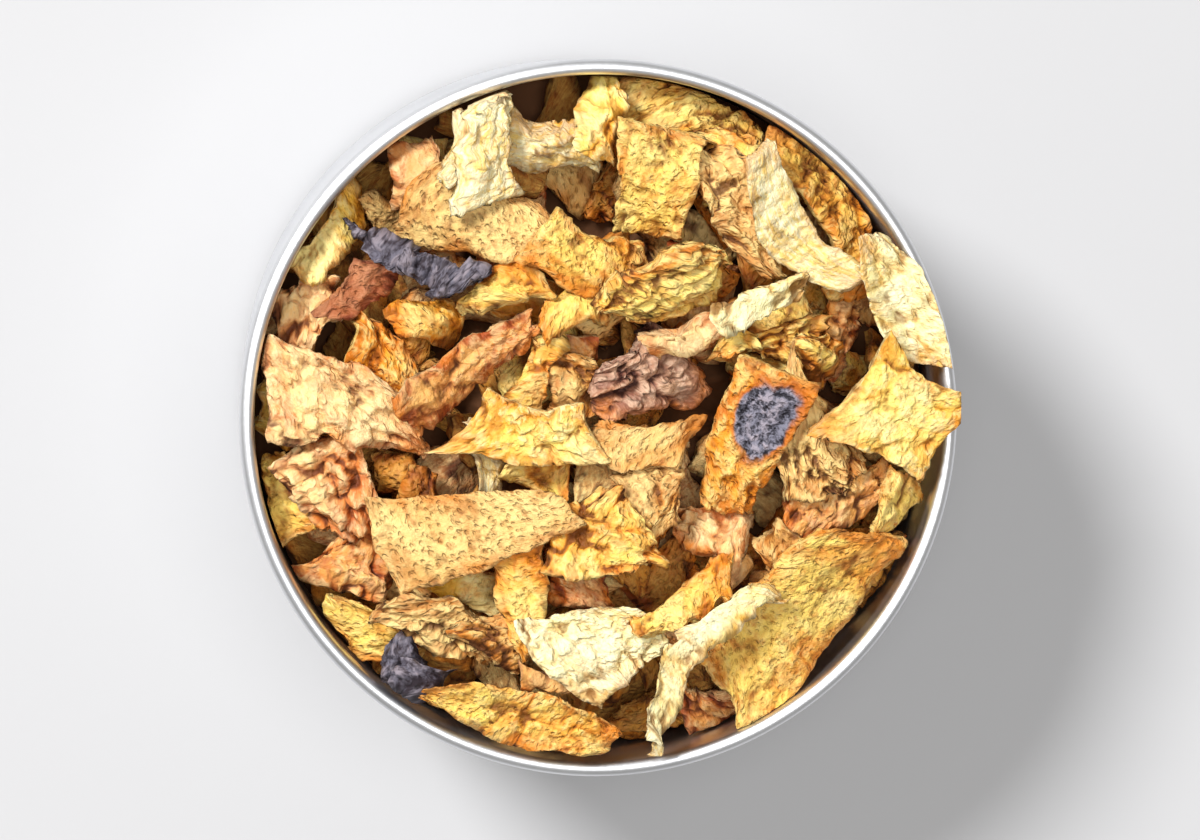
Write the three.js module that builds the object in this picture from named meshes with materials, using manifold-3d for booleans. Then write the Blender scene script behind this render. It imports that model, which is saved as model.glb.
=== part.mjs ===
// A round aluminium herb tin, open at the top and heaped with dried cut orange peel.
// Millimetres, +Z up. The origin is the middle of the tin's base, on the plane that the tin stands on.
// The tin is one drawn sheet with a rolled edge. The peel is one solid out to its uneven outline:
// a mound of peel with the flakes that make up its top lying in it at all angles.

import * as THREE from "three";
import { mergeVertices } from "three/addons/utils/BufferGeometryUtils.js";
import Module from "manifold-3d";

const wasm = await Module();
wasm.setup();

// Driving dimensions of the tin.
const TIN_DIAMETER = 80; // over the rolled edge
const TIN_HEIGHT = 38;
const SHEET = 0.4; // thickness of the drawn sheet
const CURL_DIAMETER = 1.7; // the rolled edge, outside
const CURL_SWEEP = 280; // how far round the edge is rolled, in degrees
const CURL_STEPS = 8; // facets along the rolled edge
const CORNER_RADIUS = 2.2; // where the wall turns into the base, along the middle of the sheet
const CORNER_STEPS = 3; // facets along that corner
const PANEL_LIFT = 0.9; // how far the middle of the base stands above its standing ring
const PANEL_RADIUS = 31.8;
const STEP_RADIUS = 33.0; // inner edge of the standing ring
const TURN = 60; // facets round the tin

// Driving dimensions of the peel.
const CLEARANCE = 0.3; // gap between the peel and the tin
const EDGE_DROP = 5.0; // how far below the rim the mound meets the wall
const CROWN_RISE = 6.2; // how far the middle of the mound stands above its edge
const MOUND_TURN = 40; // facets round the mound
const MOUND_RINGS = 4;
const FLAKES = 48; // flakes over the top of the mound
const FLAKE = { length: [12, 22], width: [8, 12], thickness: 1.8 };
const FLAKE_TILT = 0.42; // steepest lean of a flake, in radians
const FLAKE_BEND = 0.9; // largest bend along a flake, in radians
const FLAKE_LEAST_BEND = 0.22; // smallest bend along a flake, in radians
const FLAKE_TAPER = 0.5; // most that a flake narrows to one end, as a share of its width
const FLAKE_SINK = [0.2, 0.7]; // how high a flake's middle lies on the mound, in thicknesses
const FLAKE_INSET = 0.42; // how far a flake at the wall lies inwards, as a share of its length
const FLAKE_STEPS = 3; // facets along a bent flake
const FLAKE_ORDER = 11; // where the row of repeatable numbers starts

const WELD_DISTANCE = 1e-4; // points closer than this are one point

// Worked out from those.
const TIN_RADIUS = TIN_DIAMETER / 2;
const WALL_RADIUS = TIN_RADIUS - CURL_DIAMETER + SHEET / 2; // middle of the sheet
const CURL_RADIUS = (CURL_DIAMETER - SHEET) / 2; // middle of the sheet
const CURL_HEIGHT = TIN_HEIGHT - CURL_DIAMETER / 2;
const PEEL_RADIUS = WALL_RADIUS - SHEET / 2 - CLEARANCE;
const PEEL_FLOOR = SHEET + PANEL_LIFT + CLEARANCE;
const MOUND_EDGE = TIN_HEIGHT - EDGE_DROP;

// Points on an arc round a centre, from one angle to another, both ends included.
function arc(centreX, centreY, radius, from, to, steps) {
  const found = [];
  for (let i = 0; i <= steps; i++) {
    const angle = from + ((to - from) * i) / steps;
    found.push(
      new THREE.Vector2(
        centreX + radius * Math.cos(angle),
        centreY + radius * Math.sin(angle),
      ),
    );
  }
  return found;
}

// A line moved sideways by a distance, with its corners mitred.
function offset(line, distance) {
  return line.map((point, i) => {
    const before = line[Math.max(i - 1, 0)];
    const after = line[Math.min(i + 1, line.length - 1)];
    const into = point.clone().sub(before).normalize();
    const out = after.clone().sub(point).normalize();
    const along = into.clone().add(out).normalize();
    const half = i > 0 && i < line.length - 1 ? Math.sqrt((1 + into.dot(out)) / 2) : 1;
    const side = new THREE.Vector2(along.y, -along.x);
    return point.clone().addScaledVector(side, distance / half);
  });
}

// A profile of (radius, height) points turned round +Z.
function turned(profile, segments) {
  const geometry = new THREE.LatheGeometry(profile, segments);
  geometry.rotateX(Math.PI / 2);
  return geometry;
}

// The middle of the tin's sheet, from the middle of the base, up the wall and round the rolled edge.
function sheetLine() {
  const corner = new THREE.Vector2(
    WALL_RADIUS - CORNER_RADIUS,
    SHEET / 2 + CORNER_RADIUS,
  );
  return [
    new THREE.Vector2(0, SHEET / 2 + PANEL_LIFT),
    new THREE.Vector2(PANEL_RADIUS, SHEET / 2 + PANEL_LIFT),
    new THREE.Vector2(STEP_RADIUS, SHEET / 2),
    ...arc(corner.x, corner.y, CORNER_RADIUS, -Math.PI / 2, 0, CORNER_STEPS),
    // The edge rolls outwards and down, and stops just short of the wall.
    ...arc(
      WALL_RADIUS + CURL_RADIUS,
      CURL_HEIGHT,
      CURL_RADIUS,
      Math.PI,
      Math.PI - THREE.MathUtils.degToRad(CURL_SWEEP),
      CURL_STEPS,
    ),
  ];
}

function makeTin() {
  const line = sheetLine();
  const under = offset(line, SHEET / 2);
  const over = offset(line, -SHEET / 2).reverse();
  under[0].x = 0;
  over[over.length - 1].x = 0;
  const tin = new THREE.Mesh(
    turned([...under, ...over], TURN),
    new THREE.MeshStandardMaterial({
      color: 0xc9ccd0,
      roughness: 0.32,
      metalness: 1,
    }),
  );
  tin.name = "tin";
  return tin;
}

// A closed geometry as a solid, and back.
function solid(geometry) {
  const bare = geometry.clone();
  bare.deleteAttribute("normal");
  bare.deleteAttribute("uv");
  const merged = mergeVertices(bare, WELD_DISTANCE);
  return new wasm.Manifold(
    new wasm.Mesh({
      numProp: 3,
      vertProperties: merged.attributes.position.array,
      triVerts: new Uint32Array(merged.index.array),
    }),
  );
}

function geometryOf(body) {
  const mesh = body.getMesh();
  const places = new Float32Array(mesh.numVert * 3);
  for (let i = 0; i < mesh.numVert; i++) {
    const start = i * mesh.numProp;
    places.set(mesh.vertProperties.subarray(start, start + 3), i * 3);
  }
  const geometry = new THREE.BufferGeometry();
  geometry.setAttribute("position", new THREE.BufferAttribute(places, 3));
  geometry.setIndex(new THREE.BufferAttribute(mesh.triVerts, 1));
  geometry.computeVertexNormals();
  return geometry;
}

// How high the mound stands at a distance from the middle.
function moundHeight(radius) {
  const share = Math.min(radius / PEEL_RADIUS, 1);
  return MOUND_EDGE + CROWN_RISE * (1 - share * share);
}

function makeMound() {
  const profile = [
    new THREE.Vector2(0, PEEL_FLOOR),
    new THREE.Vector2(PEEL_RADIUS - CORNER_RADIUS, PEEL_FLOOR),
    new THREE.Vector2(PEEL_RADIUS, PEEL_FLOOR + CORNER_RADIUS),
  ];
  for (let i = MOUND_RINGS; i >= 0; i--) {
    const radius = (PEEL_RADIUS * i) / MOUND_RINGS;
    profile.push(new THREE.Vector2(radius, moundHeight(radius)));
  }
  return solid(turned(profile, MOUND_TURN));
}

// Repeatable numbers from 0 to 1, so that the heap is the same each time.
function numbersFrom(start) {
  const factor = 1664525;
  const shift = 1013904223;
  const range = 2 ** 32;
  let state = start;
  return () => {
    state = (state * factor + shift) % range;
    return state / range;
  };
}

function between([low, high], share) {
  return low + (high - low) * share;
}

// One flake: a tapering slab that bends along its length, about the middle of its own frame.
function flakeGeometry(length, width, bend, taper) {
  const geometry = new THREE.BoxGeometry(
    length,
    width,
    FLAKE.thickness,
    FLAKE_STEPS,
    1,
    1,
  );
  const place = geometry.attributes.position;
  const radius = length / bend;
  for (let i = 0; i < place.count; i++) {
    const x = place.getX(i);
    const y = place.getY(i) * (1 - (taper * (x + length / 2)) / length);
    const z = place.getZ(i);
    const angle = x / radius;
    place.setXYZ(
      i,
      (radius + z) * Math.sin(angle),
      y,
      (radius + z) * Math.cos(angle) - radius,
    );
  }
  return geometry;
}

// The flakes stand on a spiral whose turns are as far apart as its steps, which spreads them evenly.
function makeFlakes() {
  const next = numbersFrom(FLAKE_ORDER);
  const goldenAngle = Math.PI * (3 - Math.sqrt(5));
  const signed = () => 2 * next() - 1;
  const flakes = [];
  for (let i = 0; i < FLAKES; i++) {
    const length = between(FLAKE.length, next());
    const width = between(FLAKE.width, next());
    const reach = PEEL_RADIUS - FLAKE_INSET * length;
    const radius = reach * Math.sqrt((i + 0.5) / FLAKES);
    const around = i * goldenAngle;
    const bend = between([FLAKE_LEAST_BEND, FLAKE_BEND], next()) * (next() < 0.5 ? -1 : 1);
    const geometry = flakeGeometry(length, width, bend, FLAKE_TAPER * next());
    const lie = new THREE.Object3D();
    lie.rotation.set(
      FLAKE_TILT * signed(),
      FLAKE_TILT * signed(),
      Math.PI * 2 * next(),
      "ZYX",
    );
    lie.position.set(
      radius * Math.cos(around),
      radius * Math.sin(around),
      moundHeight(radius) + FLAKE.thickness * between(FLAKE_SINK, next()),
    );
    lie.updateMatrix();
    flakes.push(solid(geometry.applyMatrix4(lie.matrix)));
  }
  return flakes;
}

// The tin's own room, which no peel reaches: everything outside its bore up to just over the rim.
function tinRoom() {
  const outside = TIN_DIAMETER;
  const top = TIN_HEIGHT + CLEARANCE;
  const profile = [
    new THREE.Vector2(PEEL_RADIUS, -TIN_HEIGHT),
    new THREE.Vector2(outside, -TIN_HEIGHT),
    new THREE.Vector2(outside, top),
    new THREE.Vector2(PEEL_RADIUS, top),
    new THREE.Vector2(PEEL_RADIUS, -TIN_HEIGHT),
  ];
  return solid(turned(profile, TURN));
}

// The largest of the separate pieces that cutting may have left.
function largest(body) {
  return body
    .decompose()
    .reduce((best, piece) => (piece.volume() > best.volume() ? piece : best));
}

function makePeel() {
  let heap = makeMound();
  for (const flake of makeFlakes()) heap = heap.add(flake);
  heap = largest(heap.subtract(tinRoom()));
  const peel = new THREE.Mesh(
    geometryOf(heap),
    new THREE.MeshStandardMaterial({
      color: 0xc58f45,
      roughness: 0.85,
      metalness: 0,
      flatShading: true,
    }),
  );
  peel.name = "peel_heap";
  return peel;
}

const part = new THREE.Group();
part.add(makeTin(), makePeel());

export default part;
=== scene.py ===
import math

import bpy
import numpy as np
from mathutils import Matrix, Vector, noise as pattern


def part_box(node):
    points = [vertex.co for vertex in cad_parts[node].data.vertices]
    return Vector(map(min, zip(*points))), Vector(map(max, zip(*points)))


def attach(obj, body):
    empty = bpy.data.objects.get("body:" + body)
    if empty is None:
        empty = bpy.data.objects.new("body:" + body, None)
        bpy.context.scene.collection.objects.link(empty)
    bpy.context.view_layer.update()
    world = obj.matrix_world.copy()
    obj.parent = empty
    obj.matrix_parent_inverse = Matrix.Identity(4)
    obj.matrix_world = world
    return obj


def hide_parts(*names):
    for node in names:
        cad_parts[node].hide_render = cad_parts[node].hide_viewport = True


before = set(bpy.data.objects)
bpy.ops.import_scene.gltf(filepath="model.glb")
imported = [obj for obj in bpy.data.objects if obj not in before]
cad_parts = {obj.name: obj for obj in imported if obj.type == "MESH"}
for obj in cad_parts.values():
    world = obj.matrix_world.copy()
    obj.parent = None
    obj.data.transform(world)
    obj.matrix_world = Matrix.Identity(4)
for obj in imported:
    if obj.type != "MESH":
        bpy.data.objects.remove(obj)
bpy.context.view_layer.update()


# The tin: one round blank of aluminium sheet, drawn into a cup in a press, with a base panel pressed
# up inside its standing ring. The cut edge is rolled outwards into a bead, and the metal is left bare,
# with the fine upright drawing marks of the press down its wall.
MM = 0.001
_, tin_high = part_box("tin")
tin_radius = tin_high.x / MM
tin_height = tin_high.z / MM
SHEET = 0.4
BEAD = 1.7  # the rolled edge, across
BEAD_SWEEP = math.radians(280)
CORNER = 2.2  # where the wall turns into the base
PANEL_LIFT = 0.9
PANEL_EDGE = 31.8
PANEL_FLAT = 1.5  # how far inside its edge the base panel stops being flat
STANDING_RING = 33.0
TIN_TURN = 192  # facets round the tin
SHARPEST = 0.2  # keeps a mitre from running away at a sharp corner
ON_AXIS = 1e-6
wall_radius = tin_radius - BEAD + SHEET / 2
bore_radius = wall_radius - SHEET / 2


def arc(centre, radius, start, sweep, steps):
    """Points along an arc in the (radius, height) plane."""
    points = []
    for i in range(steps + 1):
        angle = start + sweep * i / steps
        x = centre[0] + radius * math.cos(angle)
        y = centre[1] + radius * math.sin(angle)
        points.append(Vector((x, y)))
    return points


def beside(line, distance):
    """A line moved to its right by a distance, with mitred corners."""
    moved = []
    for i, point in enumerate(line):
        into = (point - line[i - 1]).normalized() if i else (line[1] - point).normalized()
        out = (line[i + 1] - point).normalized() if i + 1 < len(line) else into
        along = (into + out).normalized()
        reach = distance / max(math.sqrt((1 + into.dot(out)) / 2), SHARPEST)
        moved.append(point + Vector((along.y, -along.x)) * reach)
    return moved


def turned(name, profile, segments):
    """A (radius, height) profile turned round the middle, as a mesh. It starts and ends on the axis."""
    vertices, rings = [], []
    for radius, height in profile:
        start = len(vertices)
        if radius < ON_AXIS:
            vertices.append((0, 0, height * MM))
            rings.append([start] * segments)
            continue
        for i in range(segments):
            angle = 2 * math.pi * i / segments
            vertices.append((radius * math.cos(angle) * MM, radius * math.sin(angle) * MM, height * MM))
        rings.append(list(range(start, start + segments)))
    faces = []
    for below, above in zip(rings, rings[1:]):
        for i in range(segments):
            j = (i + 1) % segments
            corners = dict.fromkeys((below[i], below[j], above[j], above[i]))
            faces.append(tuple(corners))
    mesh = bpy.data.meshes.new(name)
    mesh.from_pydata(vertices, [], faces)
    mesh.shade_smooth()
    return mesh


def placed(name, mesh):
    """A new object at the origin that shows a mesh."""
    made = bpy.data.objects.new(name, mesh)
    bpy.context.scene.collection.objects.link(made)
    return made


sheet_line = [
    Vector((0, SHEET / 2 + PANEL_LIFT)),
    Vector((PANEL_EDGE - PANEL_FLAT, SHEET / 2 + PANEL_LIFT)),
    *arc((PANEL_EDGE, SHEET / 2 + PANEL_LIFT - 0.6), 0.6, math.pi / 2, -math.radians(50), 4),
    *arc((STANDING_RING + 0.3, SHEET / 2 + 0.5), 0.5, math.radians(220), math.radians(50), 4),
    *arc((wall_radius - CORNER, SHEET / 2 + CORNER), CORNER, -math.pi / 2, math.pi / 2, 10),
    *arc(
        (wall_radius + (BEAD - SHEET) / 2, tin_height - BEAD / 2),
        (BEAD - SHEET) / 2,
        math.pi,
        -BEAD_SWEEP,
        20,
    ),
]
tin_profile = beside(sheet_line, SHEET / 2) + beside(sheet_line, -SHEET / 2)[::-1]
tin_profile[0].x = 0
tin_profile[-1].x = 0
tin = placed("herb_tin", turned("herb_tin", tin_profile, TIN_TURN))


class Field:
    """A value in a node tree that can be added, multiplied and so on, so that a rule reads as a sum."""

    def __init__(self, tree, socket):
        self.tree = tree
        self.socket = socket

    def sum(self, operation, *others):
        made = self.tree.nodes.new("ShaderNodeMath")
        made.operation = operation
        for entry, value in zip(made.inputs, (self, *others)):
            join(self.tree, entry, value)
        return Field(self.tree, made.outputs[0])

    def __add__(self, other):
        return self.sum("ADD", other)

    def __sub__(self, other):
        return self.sum("SUBTRACT", other)

    def __mul__(self, other):
        return self.sum("MULTIPLY", other)

    def __truediv__(self, other):
        return self.sum("DIVIDE", other)

    def __pow__(self, other):
        return self.sum("POWER", other)

    def __abs__(self):
        return self.sum("ABSOLUTE")

    def __rsub__(self, other):
        return self * -1 + other

    __radd__ = __add__
    __rmul__ = __mul__

    def sine(self):
        return self.sum("SINE")

    def cosine(self):
        return self.sum("COSINE")

    def least(self, other):
        return self.sum("MINIMUM", other)

    def most(self, other):
        return self.sum("MAXIMUM", other)

    def step(self, start, end):
        """0 below start, 1 above end, and a smooth rise between them."""
        rise = {0: self, 1: start, 2: end}
        made = add(self.tree, "ShaderNodeMapRange", rise, interpolation_type="SMOOTHSTEP")
        return Field(self.tree, made.outputs[0])


def join(tree, entry, value):
    """Feeds a node's input from a field, or sets it to a plain value."""
    if isinstance(value, Field):
        tree.links.new(value.socket, entry)
    else:
        entry.default_value = value


def add(tree, kind, inputs=None, **settings):
    """A new node with its settings and inputs."""
    made = tree.nodes.new(kind)
    for name, value in settings.items():
        setattr(made, name, value)
    for name, value in (inputs or {}).items():
        join(tree, made.inputs[name], value)
    return made


def out(made, name=0):
    return Field(made.id_data, made.outputs[name])


def scaled(tree, vector, factors):
    """A vector with each of its parts multiplied."""
    return out(add(tree, "ShaderNodeVectorMath", {0: vector, 1: factors}, operation="MULTIPLY"))


def noise(tree, vector, scale, detail=2.0, roughness=0.5, distortion=0.0):
    """Smooth noise, from 0 to 1."""
    values = {"Vector": vector, "Scale": scale, "Detail": detail}
    values.update({"Roughness": roughness, "Distortion": distortion})
    return out(add(tree, "ShaderNodeTexNoise", values))


def swing(tree, vector, scale, detail=2.0, roughness=0.5):
    """Smooth noise, from about -1 to 1."""
    return (noise(tree, vector, scale, detail, roughness) - 0.5) * 3.0


def cells(tree, vector, scale, randomness=1.0, wanted="Distance", **settings):
    """Many cells: how far a point is from the middle of its own cell, or that cell's colour."""
    values = {"Vector": vector, "Scale": scale, "Randomness": randomness}
    return out(add(tree, "ShaderNodeTexVoronoi", values, **settings), wanted)


def blend(tree, share, first, second, how="MIX"):
    """Two colours mixed."""
    made = add(tree, "ShaderNodeMix", {0: share, 6: first, 7: second}, data_type="RGBA", blend_type=how)
    return out(made, 2)


def new_material(name, **finish):
    """A material with one Principled shader, and its tree and shader."""
    material = bpy.data.materials.new(name)
    material.use_nodes = True
    shader = material.node_tree.nodes["Principled BSDF"]
    for socket, value in finish.items():
        shader.inputs[socket.replace("_", " ")].default_value = value
    return material, material.node_tree, shader


def bump(tree, shader, height, strength, distance):
    """Relief on a surface, feeding the shader's normal."""
    made = add(tree, "ShaderNodeBump", {"Height": height, "Strength": strength, "Distance": distance})
    tree.links.new(made.outputs[0], shader.inputs["Normal"])


def bare_aluminium():
    """Bare drawn sheet: fine upright marks, dull smears from handling and a faint grain."""
    material, tree, shader = new_material("bare aluminium", Metallic=1.0)
    place = out(add(tree, "ShaderNodeTexCoord"), "Object")
    drawn = noise(tree, scaled(tree, place, (2600, 2600, 45)), 1.0, 3.0)
    smears = noise(tree, scaled(tree, place, (60, 60, 40)), 1.0, 3.0, 0.6)
    grain = noise(tree, scaled(tree, place, (9000, 9000, 9000)), 1.0, 1.0)
    colour = blend(tree, smears.step(0.35, 0.75), (0.80, 0.81, 0.83, 1), (0.72, 0.73, 0.75, 1))
    join(tree, shader.inputs["Base Color"], colour)
    join(tree, shader.inputs["Roughness"], 0.3 + smears * 0.07 + drawn * 0.12)
    bump(tree, shader, drawn * 0.7 + grain * 0.3, 0.25, 0.00006)
    return material


tin.data.materials.append(bare_aluminium())
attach(tin, "root")
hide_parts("tin")


# The peel: orange rind cut into flakes and dried, so that each has shrunk, curled and wrinkled. One side
# is the rind, golden to red-brown and pricked all over by its oil glands. The other side is the pith,
# pale and fibrous. Each flake is a cut slab that the tree below bends, tears and creases.
THROUGH = 5  # rows of points through a flake's thickness
HALF_LENGTH = 0.48  # of a flake's length from its middle to its end, before tearing adds to it
HALF_WIDTH = 0.46
SEED_STEP = (1.7, 2.3, 5.3)  # how far apart two flakes lie in the pattern, in millimetres
RIB_PITCH = 1.5
SCORCH_NARROW = 1.7  # how much longer along the flake a scorched patch is than across it
flake_inputs = {
    "Length": 12.0,
    "Width": 8.0,
    "Thickness": 1.7,
    "Spacing": 0.34,  # between the points of the mesh
    "Taper": 0.0,
    "Belly": 0.0,
    "End Belly": 0.0,
    "Near Slant": 0.0,
    "Far Slant": 0.0,
    "Bow": 0.0,
    "Curl": 0.4,
    "Cup": 0.3,
    "Twist": 0.0,
    "Fold": 0.0,
    "Wrinkle": 1.0,
    "Ragged": 1.0,
    "Ribs": 0.0,
    "Seed": 0.0,
    "Tone": 0.5,
    "Scorch": 0.0,
    "Scorch Along": 0.0,
    "Scorch Across": 0.0,
    "Scorch Size": 4.0,
}


def flake_shape_tree():
    """Geometry Nodes: a slab of points, torn to a ragged outline, creased, and curled both ways."""
    tree = bpy.data.node_groups.new("peel flake", "GeometryNodeTree")
    for name, value in flake_inputs.items():
        socket = tree.interface.new_socket(name, in_out="INPUT", socket_type="NodeSocketFloat")
        socket.default_value = value
    tree.interface.new_socket("Material", in_out="INPUT", socket_type="NodeSocketMaterial")
    tree.interface.new_socket("Flake", in_out="OUTPUT", socket_type="NodeSocketGeometry")
    entry = tree.nodes.new("NodeGroupInput")
    value = {name: out(entry, name) for name in flake_inputs}
    length, width, thickness = value["Length"], value["Width"], value["Thickness"]

    def whole(number):
        return number.sum("CEIL") + 1

    slab = add(
        tree,
        "GeometryNodeMeshCube",
        {
            "Size": (2, 2, 2),
            "Vertices X": whole(length / value["Spacing"]),
            "Vertices Y": whole(width / value["Spacing"]),
            "Vertices Z": THROUGH,
        },
    )
    parts = add(tree, "ShaderNodeSeparateXYZ", {0: out(tree.nodes.new("GeometryNodeInputPosition"))})
    u, v, w = (out(parts, axis) for axis in "XYZ")
    rim = abs(u).most(abs(v))
    along = u * length * HALF_LENGTH
    across = v * width * HALF_WIDTH
    seed = value["Seed"]

    def spot(height):
        """A point of the pattern, in millimetres, with each flake in a place of its own."""
        flake_place = zip((along, across, height), SEED_STEP)
        corner = {i: start + seed * step for i, (start, step) in enumerate(flake_place)}
        return out(add(tree, "ShaderNodeCombineXYZ", corner))

    flat = spot(0.0 * seed)
    deep = spot(w * thickness * 0.5)

    # The outline: a slab that tapers or swells, with slanting ends and torn edges.
    share = (1 + value["Taper"] * u - value["Belly"] * u * u).most(0.08)
    slant = value["Near Slant"] + (value["Far Slant"] - value["Near Slant"]) * (u + 1) * 0.5
    y = across * share
    x = along * (1 - value["End Belly"] * v * v) + y * slant
    torn = value["Ragged"]
    broad_pattern = {"Vector": flat, "Scale": 0.14, "Detail": 1.0}
    fine_pattern = {"Vector": deep, "Scale": 0.75, "Detail": 3.0, "Roughness": 0.65}
    broad = out(add(tree, "ShaderNodeTexNoise", broad_pattern), "Color")
    fine = out(add(tree, "ShaderNodeTexNoise", fine_pattern), "Color")
    chips = cells(tree, flat, 0.3, wanted="Color", feature="SMOOTH_F1")
    broad_parts, fine_parts, chip_parts = (
        add(tree, "ShaderNodeSeparateXYZ", {0: colour}) for colour in (broad, fine, chips)
    )
    edge = rim**6

    def tear(axis):
        """How far the torn outline is moved along an axis: broadly, then in chips, then finely."""
        broken = (out(fine_parts, axis) - 0.5) * 1.5 * edge + (out(chip_parts, axis) - 0.5) * 1.8 * rim**4
        return torn * ((out(broad_parts, axis) - 0.5) * 3.4 * rim**2 + broken)

    x = x + tear(0)
    y = y + tear(1)
    y = y + value["Bow"] * (u * u - 0.33) * length * 0.5

    # The thickness: fuller in places, and shrunk towards the torn edge.
    fullness = 0.7 + noise(tree, flat, 0.35) * 0.6
    z = w * thickness * 0.5 * fullness * (1 - 0.3 * rim**9)

    # The creases: broad buckles, sharp folds where it has shrivelled, and a fine pucker.
    wrinkle = value["Wrinkle"]
    buckle = swing(tree, flat, 0.11, 1.0)
    ridge = 1 - abs(swing(tree, scaled(tree, flat, (0.6, 1.25, 1.0)), 0.36, 2.0)).least(1)
    crease = 1 - abs(swing(tree, flat, 0.2, 3.0)).step(0.0, 0.17)
    pucker = swing(tree, deep, 1.15, 2.0)
    lifted = swing(tree, scaled(tree, flat, (1, 1, 1.7)), 0.13, 1.0) * rim**3
    z = z + wrinkle * (buckle * 0.8 + ridge**3 * 0.75 - crease * 0.5) + pucker * 0.17 + lifted * 1.1
    ribs = (along * (2 * math.pi / RIB_PITCH) + swing(tree, flat, 0.3) * 2.8).sine()
    z = z - value["Ribs"] * ribs * (w * -1).most(0) * noise(tree, flat, 0.5).step(0.3, 0.6)
    z = z - value["Fold"] * abs(across + buckle * 1.2)

    # The curl: twisted about its length, then rolled across its width and along its length.
    turn = value["Twist"] * u * 0.5
    y, z = y * turn.cosine() - z * turn.sine(), y * turn.sine() + z * turn.cosine()
    hoop = width / value["Cup"]
    y, z = (hoop + z) * (y / hoop).sine(), (hoop + z) * (y / hoop).cosine() - hoop
    hoop = length / value["Curl"]
    x, z = (hoop + z) * (x / hoop).sine(), (hoop + z) * (x / hoop).cosine() - hoop

    shaped = out(add(tree, "ShaderNodeCombineXYZ", {0: x * MM, 1: y * MM, 2: z * MM}))
    body = out(slab)
    scorch_along = along - value["Scorch Along"]
    scorch_across = (across - value["Scorch Across"]) * SCORCH_NARROW
    scorch_reach = (scorch_along**2 + scorch_across**2) ** 0.5 / value["Scorch Size"]
    scorch_reach = scorch_reach + swing(tree, flat, 0.35, 3.0) * 0.3
    relief = 0.5 + wrinkle * (buckle * 0.2 + ridge * 0.35 - crease * 0.5) + pucker * 0.2
    kept = {
        "place": ("FLOAT_VECTOR", deep),
        "rind": ("FLOAT", w.step(0.2, 0.9)),
        "rim": ("FLOAT", rim),
        "relief": ("FLOAT", relief),
        "tone": ("FLOAT", value["Tone"]),
        "wrinkled": ("FLOAT", wrinkle),
        "scorch": ("FLOAT", value["Scorch"] * (1 - scorch_reach.step(0.55, 1.15))),
    }
    for name, (kind, field) in kept.items():
        named = {"Geometry": body, "Name": name}
        stored = add(tree, "GeometryNodeStoreNamedAttribute", named, data_type=kind)
        join(tree, stored.inputs["Value"], field)
        body = out(stored)
    body = out(add(tree, "GeometryNodeSetPosition", {"Geometry": body, "Position": shaped}))
    body = out(add(tree, "GeometryNodeSetShadeSmooth", {"Geometry": body}))
    body = out(add(tree, "GeometryNodeRealizeInstances", {"Geometry": body}))
    coat = add(tree, "GeometryNodeSetMaterial", {"Geometry": body})
    tree.links.new(entry.outputs["Material"], coat.inputs["Material"])
    leave = tree.nodes.new("NodeGroupOutput")
    tree.links.new(coat.outputs[0], leave.inputs["Flake"])
    return tree


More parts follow.
